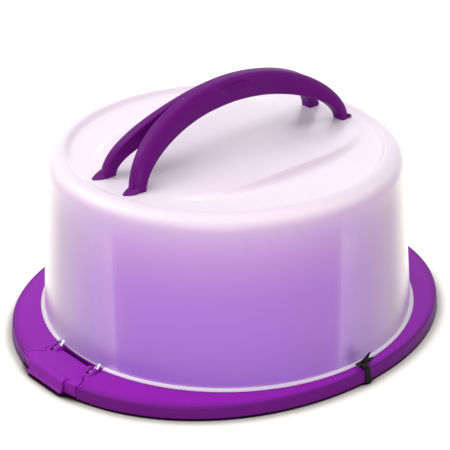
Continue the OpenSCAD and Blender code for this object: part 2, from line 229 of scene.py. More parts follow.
# Painted light and shade: lavender lower down for light from the purple tray, and a darker crest at 1.
LID_TINTS_WITH_PAINTED_LIGHT = ((0.0, "#BC80EE"), (0.31, "#CA8CF8"), (0.54, "#D094FC"), (0.74, "#E0AEFC"),
             (0.85, "#DEB8F6"), (0.93, "#E2C6EC"), (0.972, "#FAECF6"), (1.0, "#EBD9EA"))
EDGE_TINT = "#FBF0FC"
WHITE_FROM, WHITE_TO, WHITE_SHARE = 0.25, 0.8, 0.9
MIRROR_FROM, MIRROR_TO, MIRROR_SHARE = 0.6, 0.85, 0.35
THICKEN_FROM, THICKEN_TO = 0.7, 0.98
SHADOW_CUT = 0.7
THROUGH_SHARE = 0.2
SATIN_IOR = 1.4
RIPPLE_PER_M, RIPPLE_DEPTH_M, RIPPLE_STRENGTH = 60.0, 0.0002, 0.15


def frosted(name, thin, thick, gloss_roughness, tints):
    material, tree = new_material(name)
    place = add(tree, "ShaderNodeTexCoord").outputs["Object"]
    height = add(tree, "ShaderNodeMapRange", {}, {
        "Value": add(tree, "ShaderNodeSeparateXYZ", {}, {"Vector": place}).outputs["Z"],
        "From Min": WALL_FOOT_Z, "From Max": LID_TOP_Z})
    tint = add(tree, "ShaderNodeValToRGB", {}, {"Fac": height.outputs["Result"]})
    stops = tint.color_ramp.elements
    for position, _ in tints[1:-1]:
        stops.new(position)
    for stop, (position, hex_code) in zip(stops, tints):
        stop.position, stop.color = position, colour(hex_code)
    facing = add(tree, "ShaderNodeLayerWeight").outputs["Facing"]
    grazing = add(tree, "ShaderNodeMapRange", {"interpolation_type": "SMOOTHSTEP"}, {
        "Value": facing, "From Min": WHITE_FROM, "From Max": WHITE_TO, "To Max": WHITE_SHARE})
    # Painted light: edge on, the milk's colour goes towards white, partly for the long way through it.
    milk_colour_with_painted_light = add(tree, "ShaderNodeMix", {"data_type": "RGBA"}, {
        "Factor": grazing.outputs["Result"], 6: tint.outputs["Color"], 7: colour(EDGE_TINT)}).outputs[2]
    density = add(tree, "ShaderNodeMapRange", {"interpolation_type": "SMOOTHSTEP"}, {
        "Value": height.outputs["Result"], "From Min": THICKEN_FROM, "From Max": THICKEN_TO,
        "To Min": thin, "To Max": thick})
    shadow_ray = add(tree, "ShaderNodeLightPath").outputs["Is Shadow Ray"]
    lit_through = calc(tree, "MULTIPLY_ADD", shadow_ray, -SHADOW_CUT, 1.0)
    share = calc(tree, "MULTIPLY", density.outputs["Result"], lit_through)
    milk = add(tree, "ShaderNodeMixShader", {}, {
        "Fac": THROUGH_SHARE,
        1: add(tree, "ShaderNodeBsdfDiffuse", {}, {"Color": milk_colour_with_painted_light}).outputs["BSDF"],
        2: add(tree, "ShaderNodeBsdfTranslucent", {}, {"Color": milk_colour_with_painted_light}).outputs["BSDF"]})
    clear = add(tree, "ShaderNodeBsdfTransparent", {}, {"Color": (1, 1, 1, 1)})
    body = add(tree, "ShaderNodeMixShader", {}, {
        "Fac": share, 1: clear.outputs["BSDF"], 2: milk.outputs["Shader"]})
    ripple = add(tree, "ShaderNodeTexNoise", {}, {"Vector": place, "Scale": RIPPLE_PER_M, "Detail": 2.0})
    bump = add(tree, "ShaderNodeBump", {}, {
        "Height": ripple.outputs["Fac"], "Distance": RIPPLE_DEPTH_M, "Strength": RIPPLE_STRENGTH})
    mirror = add(tree, "ShaderNodeBsdfAnisotropic", {}, {
        "Color": (1, 1, 1, 1), "Roughness": gloss_roughness, "Normal": bump.outputs["Normal"]})
    edge_gloss = add(tree, "ShaderNodeMapRange", {"interpolation_type": "SMOOTHSTEP"}, {
        "Value": facing, "From Min": MIRROR_FROM, "From Max": MIRROR_TO, "To Max": MIRROR_SHARE})
    skin_gloss = add(tree, "ShaderNodeFresnel", {}, {"IOR": SATIN_IOR})
    edge_on = calc(tree, "ADD", edge_gloss.outputs["Result"], skin_gloss.outputs["Fac"], clamp=True)
    surface = add(tree, "ShaderNodeMixShader", {}, {
        "Fac": edge_on, 1: body.outputs["Shader"], 2: mirror.outputs["BSDF"]})
    add(tree, "ShaderNodeOutputMaterial", {}, {"Surface": surface.outputs["Shader"]})
    return material


FLANGE_TINTS = ((0.0, EDGE_TINT), (1.0, EDGE_TINT))
LUG_TINTS = ((0.0, "#B06AD0"), (1.0, "#B06AD0"))
lid_frosted = frosted("frosted_polypropylene", 0.56, 0.86, 0.32, LID_TINTS_WITH_PAINTED_LIGHT)
flange_frosted = frosted("frosted_polypropylene_thick", 0.65, 0.65, 0.25, FLANGE_TINTS)
lug_frosted = frosted("frosted_polypropylene_lug", 0.1, 0.1, 0.3, LUG_TINTS)
print("frosted materials:", lid_frosted.name, flange_frosted.name, lug_frosted.name)

# %% [markdown]
# ## Steel and black plastic
# The two pivot rods are plain drawn steel: bright, with fine lines along the rod, 0.3 mm apart so
# that they show. The tie is a soft black plastic, rough enough to show no highlights at this
# distance, with a faint mottle of 1.4 mm, the pitch of a coarse weave.

# %% Steel and tie
DRAWN_LINES_PER_M, DRAWN_DEPTH_M, DRAWN_STRENGTH = (60.0, 3000.0, 3000.0), 0.00002, 0.3
TIE_MOTTLE_PER_M = 700.0
steel, steel_tree = new_material("drawn_steel")
steel_place = add(steel_tree, "ShaderNodeTexCoord").outputs["Object"]
steel_stretch = add(steel_tree, "ShaderNodeMapping", {}, {
    "Vector": steel_place, "Scale": DRAWN_LINES_PER_M})
steel_lines = add(steel_tree, "ShaderNodeTexNoise", {}, {
    "Vector": steel_stretch.outputs["Vector"], "Scale": 1.0, "Detail": 2.0})
steel_bump = add(steel_tree, "ShaderNodeBump", {}, {
    "Height": steel_lines.outputs["Fac"], "Distance": DRAWN_DEPTH_M, "Strength": DRAWN_STRENGTH})
steel_surface = add(steel_tree, "ShaderNodeBsdfPrincipled", {}, {
    "Base Color": colour("#C4C4C8"), "Metallic": 1.0, "Roughness": 0.32,
    "Normal": steel_bump.outputs["Normal"]})
add(steel_tree, "ShaderNodeOutputMaterial", {}, {"Surface": steel_surface.outputs["BSDF"]})

tie_black, tie_tree = new_material("woven_plastic_black")
tie_place = add(tie_tree, "ShaderNodeTexCoord").outputs["Object"]
tie_noise = add(tie_tree, "ShaderNodeTexNoise", {}, {
    "Vector": tie_place, "Scale": TIE_MOTTLE_PER_M, "Detail": 3.0})
tie_shade = add(tie_tree, "ShaderNodeMix", {"data_type": "RGBA"}, {
    "Factor": tie_noise.outputs["Fac"], 6: colour("#060506"), 7: colour("#140F11")})
tie_surface = add(tie_tree, "ShaderNodeBsdfPrincipled", {}, {
    "Base Color": tie_shade.outputs[2], "Roughness": 0.6, "IOR": 1.46, "Specular IOR Level": 0.25})
add(tie_tree, "ShaderNodeOutputMaterial", {}, {"Surface": tie_surface.outputs["BSDF"]})
print("materials made:", len(bpy.data.materials))

# %% [markdown]
# ## Sizes shared by the pieces
# The values repeat the ones that drive the CAD model, in millimetres, so that every dressed piece
# sits where its solid does.

# %% Shared sizes
LID_R, LID_LEAN, LID_TOP, SHOULDER_R, LID_WALL = 157.7, 10.0, 155.0, 14.6, 1.6
FLANGE_W, FLANGE_T, FLANGE_Z = 2.9, 1.5, 13.0
DISH_Z, DISH_R = 150.8, 127.0
PANEL_HALF_X, PANEL_HALF_Y, PANEL_RISE, PANEL_FADE = 86.0, 120.0, 7.5, 102.0
HANDLE_SHIFT = 4.5
DECK_Z, DECK_FLAT_R, BASE_WALL, SKIRT_Z, SKIRT_FLARE = 12.8, 163.35, 2.2, 2.0, 1.0
OVAL_MEAN, OVAL_SWING = 180.0, 11.2
RING_R, RING_T, RING_Z, FLOOR_Z, FLOOR_T, FOOT_R, FOOT_W = 154.8, 2.2, 20.0, 6.4, 2.4, 140.0, 4.0
PIVOT_Y, PIVOT_Z, ROD_R = 163.2, 9.8, 1.5
NECK_Y, FLARE_Y, KNUCKLE_X, NECK_X, FLARE_X = 172.5, 183.5, 29.5, 25.5, 34.5
CLIP_GAP, CATCH_GAP, CLIP_T = 0.8, 1.2, 2.0
POCKET_IN, POCKET_FLOOR_Z = 157.6, 4.0


def oval_radius(angle):
    return OVAL_MEAN - OVAL_SWING * np.cos(2 * angle)


print("rim, mm:", 2 * (OVAL_MEAN + OVAL_SWING), "by", 2 * (OVAL_MEAN - OVAL_SWING))


# %% [markdown]
# ## Lid shell
# The lid is one moulding: flange, leaning wall, round shoulder, a shallow dish and a raised oval
# panel that fades out before the handle's feet. A lathe can't make the oval panel, so the shell is
# rows of points that are circles at the wall and turn into the panel's outline on top. The inner
# skin is the outer one moved in by the wall's thickness along its normals.

# %% Lid rows
LID_COLUMNS = 288
NOTCH_HALF_W, NOTCH_STEP = 29.9, 0.0004
NOTCH_HALF_ANGLE = math.asin(NOTCH_HALF_W / LID_R)
PANEL_SLOPE, PANEL_POWER = 6.5, 0.8
PANEL_SOFT, PANEL_SINK = 0.3, 0.05
WALL_START, WALL_ROWS, SHOULDER_STEPS, DISH_ROWS = 2.6, 14, 14, 8
FLAT_ROWS, SLOPE_ROWS, PANEL_ROWS = 6, 10, 26


def lid_columns():
    even = np.linspace(0, 2 * math.pi, LID_COLUMNS, endpoint=False)
    notch = [side * math.pi / 2 + sign * NOTCH_HALF_ANGLE + shift
             for side in (1, 3) for sign in (-1, 1) for shift in (-NOTCH_STEP, NOTCH_STEP)]
    return np.array(sorted(list(even) + notch))


def panel_outline(angle, inset):
    c, s = np.cos(angle), np.sin(angle)
    return np.stack([(PANEL_HALF_X - inset) * np.sign(c) * np.abs(c) ** PANEL_POWER,
                     (PANEL_HALF_Y - inset) * np.sign(s) * np.abs(s) ** PANEL_POWER + HANDLE_SHIFT], axis=1)


def crown(y):
    """The panel's height at y: an arc that fades out softly towards both ends."""
    bow = (PANEL_FADE ** 2 + PANEL_RISE ** 2) / (2 * PANEL_RISE)
    height = PANEL_RISE - bow + np.sqrt(bow ** 2 - (y - HANDLE_SHIFT) ** 2)
    return np.clip((height + np.sqrt(height ** 2 + PANEL_SOFT ** 2)) / 2 - PANEL_SINK, 0, PANEL_RISE)


def ease(t):
    return t * t * (3 - 2 * t)


def round_row(angle, radius, height):
    return np.stack([radius * np.cos(angle), radius * np.sin(angle), np.full_like(angle, height)], axis=1)


def lid_wall_rows(angle):
    slope = LID_LEAN / (LID_TOP - SHOULDER_R - FLANGE_Z)
    rows = [round_row(angle, LID_R - slope * (z - FLANGE_Z), z)
            for z in np.linspace(FLANGE_Z + WALL_START, LID_TOP - SHOULDER_R, WALL_ROWS)]
    centre = LID_R - LID_LEAN - SHOULDER_R
    for a in np.linspace(0, math.pi / 2, SHOULDER_STEPS + 1)[1:]:
        rows.append(round_row(angle, centre + SHOULDER_R * math.cos(a),
                              LID_TOP - SHOULDER_R + SHOULDER_R * math.sin(a)))
    for t in np.linspace(0, 1, DISH_ROWS)[1:]:
        rows.append(round_row(angle, centre + (DISH_R - centre) * t,
                              LID_TOP + (DISH_Z - LID_TOP) * ease(t)))
    return rows


def lid_top_rows(angle):
    edge = np.stack([DISH_R * np.cos(angle), DISH_R * np.sin(angle)], axis=1)
    outline = panel_outline(angle, 0)
    rows = []
    for t in np.linspace(0, 1, FLAT_ROWS)[1:-1]:
        flat = edge * (1 - t) + outline * t
        rows.append(np.column_stack([flat, np.full(len(angle), DISH_Z)]))
    for t in np.linspace(0, 1, SLOPE_ROWS):
        flat = panel_outline(angle, PANEL_SLOPE * t)
        rows.append(np.column_stack([flat, DISH_Z + crown(flat[:, 1]) * ease(t)]))
    inner = panel_outline(angle, PANEL_SLOPE)
    middle = np.array([0.0, HANDLE_SHIFT])
    for t in np.linspace(1, 0, PANEL_ROWS)[1:-1]:
        flat = middle + (inner - middle) * t
        rows.append(np.column_stack([flat, DISH_Z + crown(flat[:, 1])]))
    return rows


print("lid: rows of", len(lid_columns()), "points")

# %% Flange rows
FLANGE_EASE, FLANGE_BEVEL, FLANGE_STUB = 0.5, 0.15, 0.02
FLANGE_FILLET = ((0.9, 0.0), (0.3, 0.15), (0.0, 0.45))


def flange_rows(angle):
    """The flange, which stops short of the clips at both ends."""
    near_end = np.abs(np.cos(angle)) < math.sin(NOTCH_HALF_ANGLE)
    tip, top, low = LID_R + FLANGE_W, FLANGE_Z + FLANGE_T, FLANGE_Z
    reach = np.where(near_end, LID_R + FLANGE_STUB, tip)
    section = [(LID_R - LID_WALL, low), (LID_R - FLANGE_EASE, low), (tip - FLANGE_EASE, low),
               (tip - FLANGE_BEVEL, low + FLANGE_BEVEL), (tip, low + FLANGE_EASE),
               (tip, top - FLANGE_EASE), (tip - FLANGE_BEVEL, top - FLANGE_BEVEL),
               (tip - FLANGE_EASE, top)]
    section += [(LID_R + out, top + up) for out, up in FLANGE_FILLET]
    return [round_row(angle, np.minimum(radius, reach), height) for radius, height in section]


print("flange, mm:", FLANGE_W, "wide,", FLANGE_T, "thick")


# %% Build the lid shell
POLE_SINK = 0.03
FLANGE_PAINT = 0.6


def skin_normals(grid):
    along = np.roll(grid, -1, axis=1) - np.roll(grid, 1, axis=1)
    across = np.gradient(grid, axis=0)
    normal = np.cross(along, across)
    return normal / np.maximum(np.linalg.norm(normal, axis=2, keepdims=True), 1e-9)


columns = lid_columns()
outer = np.array(lid_wall_rows(columns) + lid_top_rows(columns))
inner = outer - LID_WALL * skin_normals(outer)
foot = flange_rows(columns)
lid_top_point = (0, HANDLE_SHIFT, DISH_Z + PANEL_RISE - POLE_SINK)
lid_under_point = (0, HANDLE_SHIFT, DISH_Z + PANEL_RISE - POLE_SINK - LID_WALL)
all_rows = list(inner[::-1]) + [np.array(r) for r in foot] + list(outer)
lid_points = [tuple(p) for row in all_rows for p in row] + [lid_top_point, lid_under_point]
n_rows, n_columns = len(all_rows), len(columns)
lid_faces = rows_to_faces(n_rows, n_columns)
top_pole, under_pole = n_rows * n_columns, n_rows * n_columns + 1
last = (n_rows - 1) * n_columns
lid_faces += [(last + j, last + (j + 1) % n_columns, top_pole) for j in range(n_columns)]
lid_faces += [((j + 1) % n_columns, j, under_pole) for j in range(n_columns)]
lid_shell = make_piece("lid_shell", lid_points, lid_faces)
lid_shell.data.materials.append(lid_frosted)
lid_shell.data.materials.append(flange_frosted)
close_up(lid_shell, sharp_deg=50)
for face in lid_shell.data.polygons:
    face.material_index = 1 if face.center.z < (FLANGE_Z + FLANGE_T + FLANGE_PAINT) * MM else 0

# %% [markdown]
# ## Lugs on the lid
# At each end two lugs stand out of the wall's foot and take the steel rod. Each is a flat plate
# whose outline is a half circle round the bore and an arm into the wall. It is made of rings round
# the bore: bore edge, outline, and the same again on the other face, with a small chamfer.

# %% Build the lugs
LUG_R, LUG_X, LUG_W, LUG_CHAMFER, ROD_GAP = 3.8, 24.5, 3.0, 0.25, 0.05
LUG_STEPS = 64
ARM = [(-7.1, 4.0), (-7.1, 6.3), (-2.7, 4.3), (0.0, 3.8)]


def lug_reach(angle):
    """How far the lug's outline lies from the bore's centre in one direction."""
    c, s = math.cos(angle), math.sin(angle)
    reach = LUG_R
    for (x0, y0), (x1, y1) in zip(ARM, ARM[1:]):
        det = c * (y1 - y0) - s * (x1 - x0)
        if abs(det) > 1e-9:
            far = (x0 * (y1 - y0) - y0 * (x1 - x0)) / det
            t = (x0 * s - y0 * c) / -det
            if far > 0 and 0 <= t <= 1:
                reach = max(reach, far)
    return reach


def make_lug(centre_x):
    rings = []
    for side, radial in ((-1, 0), (-1, 1), (-1, 2), (1, 2), (1, 1), (1, 0)):
        x = centre_x + side * (LUG_W / 2 - (LUG_CHAMFER if radial == 2 else 0))
        ring = []
        for i in range(LUG_STEPS):
            a = 2 * math.pi * i / LUG_STEPS
            reach = lug_reach(a)
            r = {0: ROD_R + ROD_GAP, 1: reach - LUG_CHAMFER, 2: reach}[radial]
            ring.append((x, -PIVOT_Y - r * math.cos(a), PIVOT_Z + r * math.sin(a)))
        rings.append(ring)
    points = [p for ring in rings for p in ring]
    return points, rows_to_faces(len(rings), LUG_STEPS, wrap_rows=True)


def both_ends(piece):
    """Adds the same shape turned half a turn about the carrier's middle."""
    shape = bmesh.new()
    shape.from_mesh(piece.data)
    copied = bmesh.ops.duplicate(shape, geom=shape.verts[:] + shape.edges[:] + shape.faces[:])
    added = [g for g in copied["geom"] if isinstance(g, bmesh.types.BMVert)]
    bmesh.ops.rotate(shape, verts=added, cent=(0, 0, 0), matrix=Matrix.Rotation(math.pi, 3, "Z"))
    shape.to_mesh(piece.data)
    shape.free()
    return piece


lug_points, lug_faces = [], []
for side in (-1, 1):
    points, faces = make_lug(side * LUG_X)
    lug_faces += [tuple(k + len(lug_points) for k in f) for f in faces]
    lug_points += points
lid_lugs = make_piece("lid_lugs", lug_points, lug_faces)
both_ends(lid_lugs)
lid_lugs.data.materials.append(lug_frosted)
close_up(lid_lugs)

# %% [markdown]
# ## Tray rim
# The rim is a hollow section, deck on top and skirt outside, bent round an oval: its radius swings
# between half the width and half the length. The main shape follows that one rule, so Geometry
# Nodes make it. A straight strip with the section goes in, and the tree bends it round: the strip's
# X is the share of the way round, its Y the radius and its Z the height. Points outside the flat
# deck move with the oval, and points at the lid's ring stay on a circle.

# %% Rim section and strip
RIM_STEPS = 360
EDGE_R, EDGE_DROP, EDGE_LOW, EDGE_STEPS = 2.2, 2.6, 3.4, 9
FOOT_EASE = ((0.05, 0.6), (0.25, 0.2), (0.7, 0.0))
INNER_EASE = 0.5
UNDER_CORNER = ((0.0, 2.0), (0.8, 0.8), (2.2, 0.4))
edge, skirt_foot = OVAL_MEAN, OVAL_MEAN + SKIRT_FLARE
wall_in, under_deck = OVAL_MEAN - BASE_WALL, DECK_Z - BASE_WALL
rim_section = [(RING_R - RING_T / 2, DECK_Z), (DECK_FLAT_R, DECK_Z)]
for a in np.linspace(90, 0, EDGE_STEPS):
    rim_section.append((edge - EDGE_R + EDGE_R * math.cos(math.radians(a)),
                        DECK_Z - EDGE_LOW + EDGE_DROP * math.sin(math.radians(a))))
rim_section.append((edge + SKIRT_FLARE * 0.5, (DECK_Z - EDGE_LOW + SKIRT_Z) / 2))
rim_section += [(skirt_foot - back, SKIRT_Z + up) for back, up in FOOT_EASE]
rim_section += [(skirt_foot - BASE_WALL + INNER_EASE, SKIRT_Z),
                (skirt_foot - BASE_WALL, SKIRT_Z + INNER_EASE)]
rim_section += [(wall_in - back, under_deck - down) for back, down in UNDER_CORNER]
rim_section += [(DECK_FLAT_R, under_deck), (RING_R - RING_T / 2, under_deck)]
strip_points = [(i / RIM_STEPS, r * MM, z * MM) for i in range(RIM_STEPS + 1) for r, z in rim_section]
strip_mesh = bpy.data.meshes.new("tray_rim")
strip_mesh.from_pydata(strip_points, [], rows_to_faces(RIM_STEPS + 1, len(rim_section)))
tray_rim = bpy.data.objects.new("tray_rim", strip_mesh)
bpy.context.scene.collection.objects.link(tray_rim)
print("rim strip:", RIM_STEPS, "steps of", len(rim_section), "points")

# %% [markdown]
# ## Running a Geometry Nodes tree
# A tree's sizes are named inputs, so that they can be changed in the modifier as well as here. They
# are set by each socket's identifier before the piece is first evaluated. The result is then made
# a plain mesh, and the modifier is removed, so that the piece can ride on its body.

# %% Tree helpers
def bake(piece):
    """Replaces a piece's mesh by the result of its modifiers, and removes them."""
    evaluated = piece.evaluated_get(bpy.context.evaluated_depsgraph_get())
    mesh = bpy.data.meshes.new_from_object(evaluated)
    piece.modifiers.clear()
    piece.data = mesh
    return piece


def new_shape_tree(name, sizes):
    tree = bpy.data.node_groups.new(name, "GeometryNodeTree")
    tree.interface.new_socket(name="Geometry", in_out="INPUT", socket_type="NodeSocketGeometry")
    tree.interface.new_socket(name="Geometry", in_out="OUTPUT", socket_type="NodeSocketGeometry")
    for label in sizes:
        tree.interface.new_socket(name=label, in_out="INPUT", socket_type="NodeSocketFloat")
    return tree, add(tree, "NodeGroupInput")


def run_tree(piece, tree, sizes):
    step = piece.modifiers.new("shape", "NODES")
    step.node_group = tree
    for socket in tree.interface.items_tree:
        if socket.in_out == "INPUT" and socket.name in sizes:
            step[socket.identifier] = sizes[socket.name]
    bpy.context.view_layer.update()
    return bake(piece)


# %% Bend the strip round the oval
rim_sizes = {"Oval Swing": OVAL_SWING * MM, "Fixed Radius": DECK_FLAT_R * MM,
             "Moving Radius": (OVAL_MEAN - EDGE_R) * MM}
rim_tree, rim_in = new_shape_tree("bend_strip_round_oval", rim_sizes)
spot = add(rim_tree, "ShaderNodeSeparateXYZ", {}, {
    "Vector": add(rim_tree, "GeometryNodeInputPosition").outputs["Position"]})
way_round = calc(rim_tree, "MULTIPLY", spot.outputs["X"], 2 * math.pi)
wave = calc(rim_tree, "COSINE", calc(rim_tree, "MULTIPLY", way_round, 2.0))
swing = calc(rim_tree, "MULTIPLY", wave, rim_in.outputs["Oval Swing"])
share = add(rim_tree, "ShaderNodeMapRange", {"clamp": True}, {
    "Value": spot.outputs["Y"], "From Min": rim_in.outputs["Fixed Radius"],
    "From Max": rim_in.outputs["Moving Radius"], "To Min": 0.0, "To Max": 1.0})
shift = calc(rim_tree, "MULTIPLY", swing, share.outputs["Result"])
radius = calc(rim_tree, "SUBTRACT", spot.outputs["Y"], shift)
bent_x = calc(rim_tree, "MULTIPLY", radius, calc(rim_tree, "COSINE", way_round))
bent_y = calc(rim_tree, "MULTIPLY", radius, calc(rim_tree, "SINE", way_round))
bent = add(rim_tree, "ShaderNodeCombineXYZ", {}, {"X": bent_x, "Y": bent_y, "Z": spot.outputs["Z"]})
moved = add(rim_tree, "GeometryNodeSetPosition", {}, {
    "Geometry": rim_in.outputs["Geometry"], "Position": bent.outputs["Vector"]})
joined = add(rim_tree, "GeometryNodeMergeByDistance", {}, {
    "Geometry": moved.outputs["Geometry"], "Distance": WELD_M})
whole = add(rim_tree, "GeometryNodeRealizeInstances", {}, {"Geometry": joined.outputs["Geometry"]})
painted = add(rim_tree, "GeometryNodeSetMaterial", {}, {
    "Geometry": whole.outputs["Geometry"], "Material": tray_purple})
add(rim_tree, "NodeGroupOutput", {}, {"Geometry": painted.outputs["Geometry"]})
run_tree(tray_rim, rim_tree, rim_sizes)
close_up(tray_rim)

# %% [markdown]
# ## Pockets for the clips
# At each end the rim has a pocket that the clip lies in. Its outline is the clip's, a little
# larger: wide at the rod, a neck, then a flare to the rim's edge. The gap round the clip is 0.8 mm,
# wider than the solid's 0.4 mm, as the moulding's eased edges make it look. The walls and floor are
# a block joined to the hollow rim, and two cutters open the pocket and the gap in the skirt.

# %% Outlines of the pocket
NECK_CHAMFER, NECK_STRAIGHT = 1.5, 1
FLARE_CURVE = ((0.35, 2.6), (0.62, 5.2), (0.85, 8.2))
CLEAR_OF_RIM = -230.0


def rim_arc(half_width, out, steps=24):
    """Points on the oval grown by out, from left to right over the clip's width."""
    angles = np.radians(np.linspace(-110, -70, 401))
    radius = oval_radius(angles) + out
    xs, ys = radius * np.cos(angles), radius * np.sin(angles)
    return [(x, float(np.interp(x, xs, ys))) for x in np.linspace(-half_width, half_width, steps)]


def clip_sides(gap):
    """Half outline of the clip from the rod outwards, as (half width, distance)."""
    flare = [(NECK_X + gap + (FLARE_X - NECK_X) * part, NECK_Y + out) for part, out in FLARE_CURVE]
    return [(KNUCKLE_X + gap, POCKET_IN + CLIP_GAP - gap), (KNUCKLE_X + gap, NECK_Y - NECK_CHAMFER),
            (NECK_X + gap, NECK_Y), (NECK_X + gap, NECK_Y + NECK_STRAIGHT), *flare, (FLARE_X + gap, FLARE_Y)]


def clip_outline(gap, out):
    half = clip_sides(gap)
    left = [(-w, -d) for w, d in half]
    right = [(w, -d) for w, d in reversed(half)]
    return left + rim_arc(FLARE_X + gap, out) + right


def skirt_gap_outline():
    near = rim_arc(FLARE_X + CLIP_GAP, -CLIP_T - CATCH_GAP)
    return near + [(FLARE_X + CLIP_GAP, CLEAR_OF_RIM), (-FLARE_X - CLIP_GAP, CLEAR_OF_RIM)]


print("clip pocket, mm:", 2 * (FLARE_X + CLIP_GAP), "at the rim,", 2 * (NECK_X + CLIP_GAP), "at its neck")


# %% Helpers for cutting
def block(name, outline_mm, low_mm, high_mm):
    """An upright block on a flat outline."""
    n = len(outline_mm)
    points = [(x, y, z) for z in (low_mm, high_mm) for x, y in outline_mm]
    faces = [tuple(range(n))[::-1], tuple(range(n, 2 * n))]
    faces += [(i, (i + 1) % n, n + (i + 1) % n, n + i) for i in range(n)]
    return make_piece(name, points, faces)


def oblong(x, y, half_x, half_y):
    """The four corners of a rectangle round a point, anticlockwise."""
    return [(x + across * half_x, y + along * half_y)
            for across, along in ((-1, -1), (1, -1), (1, 1), (-1, 1))]


def carve(piece, cutters, operation="DIFFERENCE"):
    """Cuts pieces out of a piece, or joins them to it, and removes them."""
    for cutter in cutters:
        step = piece.modifiers.new("carve", "BOOLEAN")
        step.operation = operation
        step.solver = "EXACT"
        step.object = cutter
    bpy.context.view_layer.update()
    bake(piece)
    for cutter in cutters:
        bpy.data.objects.remove(cutter)
    return piece


# %% Cut the pockets
BLOCK_INSET, BLOCK_DROP, ROOM_REACH, CUT_ABOVE, CUT_BELOW_Z = 0.8, 0.5, 20.0, 10, -1.0
pocket_block = block("pocket_block", clip_outline(CLIP_GAP + BASE_WALL, -BLOCK_INSET),
                     SKIRT_Z, DECK_Z - BLOCK_DROP)
pocket_room = block("pocket_room", clip_outline(CLIP_GAP, ROOM_REACH), POCKET_FLOOR_Z, DECK_Z + CUT_ABOVE)
pocket_mouth = block("pocket_mouth", skirt_gap_outline(), CUT_BELOW_Z, DECK_Z + CUT_ABOVE)
for piece in (pocket_block, pocket_room, pocket_mouth):
    both_ends(piece)
    close_up(piece)
TIE_X, TIE_SLOT, TIE_SLOT_HALF_W, TIE_SLOT_DEPTH = 162.25, 2.2, 3.2, 5
tie_slot = block("tie_slot", oblong(TIE_X + TIE_SLOT / 2, 0, TIE_SLOT / 2, TIE_SLOT_HALF_W),
                 DECK_Z - TIE_SLOT_DEPTH, DECK_Z + TIE_SLOT_DEPTH)
close_up(tie_slot)
carve(tray_rim, [pocket_block], "UNION")
for cutter in (pocket_room, pocket_mouth, tie_slot):
    carve(tray_rim, [cutter])
close_up(tray_rim, sharp_deg=30)

# %% [markdown]
# ## Tray floor
# Inside the rim the tray is round: a ring that centres the lid, a flat floor for the cake and a
# foot ring underneath. It is turned like a plate, from one closed section with eased corners.

# %% Turn the floor
FLOOR_STEPS = 288
UNDER_Z = FLOOR_Z - FLOOR_T
ROOT_R, TIP_R, FILLET_R, UNDER_END = 0.8, 0.5, 1.6, 0.6
UNDER_SHARES, FLOOR_SHARES = (0.25, 0.5, 0.75, 0.98), (0.9, 0.7, 0.45, 0.2)
foot_out, ring_in = FOOT_R + FOOT_W, RING_R - RING_T


def corner(cx, cz, r, start, end, steps=4):
    return [(cx + r * math.cos(math.radians(a)), cz + r * math.sin(math.radians(a)))
            for a in np.linspace(start, end, steps + 1)]


floor_section = (
    [(FOOT_R * f, UNDER_Z) for f in UNDER_SHARES]
    + corner(FOOT_R - ROOT_R, UNDER_Z - ROOT_R, ROOT_R, 90, 0)
    + corner(FOOT_R + TIP_R, TIP_R, TIP_R, 180, 270)
    + corner(foot_out - TIP_R, TIP_R, TIP_R, 270, 360)
    + corner(foot_out + ROOT_R, UNDER_Z - ROOT_R, ROOT_R, 180, 90)
    + [(RING_R - UNDER_END, UNDER_Z)]
    + corner(RING_R - TIP_R, UNDER_Z + TIP_R, TIP_R, 270, 360)
    + corner(RING_R - ROOT_R, RING_Z - ROOT_R, ROOT_R, 0, 90)
    + corner(ring_in + ROOT_R, RING_Z - ROOT_R, ROOT_R, 90, 180)
    + corner(ring_in - FILLET_R, FLOOR_Z + FILLET_R, FILLET_R, 0, -90)
    + [(RING_R * f, FLOOR_Z) for f in FLOOR_SHARES])
turns = np.linspace(0, 2 * math.pi, FLOOR_STEPS, endpoint=False)
floor_points = [(r * math.cos(a), r * math.sin(a), z) for r, z in floor_section for a in turns]
floor_faces = rows_to_faces(len(floor_section), FLOOR_STEPS)
floor_points += [(0, 0, UNDER_Z), (0, 0, FLOOR_Z)]
under_pole, floor_pole = len(floor_points) - 2, len(floor_points) - 1
last = (len(floor_section) - 1) * FLOOR_STEPS
floor_faces += [((j + 1) % FLOOR_STEPS, j, under_pole) for j in range(FLOOR_STEPS)]
floor_faces += [(last + j, last + (j + 1) % FLOOR_STEPS, floor_pole) for j in range(FLOOR_STEPS)]
tray_floor = make_piece("tray_floor", floor_points, floor_faces)
tray_floor.data.materials.append(tray_purple)
close_up(tray_floor)

# %% [markdown]
# ## Handle
# The handle is an arch along Y with a rounded section. Some way down each side it forks into
# two legs that splay apart. One half, on +X, is made as rounded sections along the arch and then
# mirrored. Where the grip is one piece, the faces on the middle plane are left out, so the two
# halves join; where it forks, the sections come away from the middle and close the legs.

# %% Handle rules
HANDLE_TOP, HALF_SPAN, FOOT_Z = 212.0, 117.0, 150.9
GRIP_W, GRIP_T, LEG_T, LEG_W, FEET_W, FORK_Y = 20.0, 20.0, 10.5, 12.0, 52.0, 48.0
ARCH_FLAT, ARCH_UPRIGHT = 1.9, 1.9
RIDGE, SWELL, TOP_EASE, LOW_EASE = 0.36, 0.72, 1.2, 2.4
THIN_POWER, PART_POWER, SPREAD_LEAD, SPREAD_POWER = 3, 2.4, 20, 1.8
UPRIGHT_DEG, TANGENT_DEG = 89.4, 0.5


def arch_point(s):
    u = np.sin(s)
    rise = (1 - abs(u) ** ARCH_FLAT) ** (1 / ARCH_UPRIGHT)
    return np.array([HALF_SPAN * u, FOOT_Z + (HANDLE_TOP - FOOT_Z) * rise])


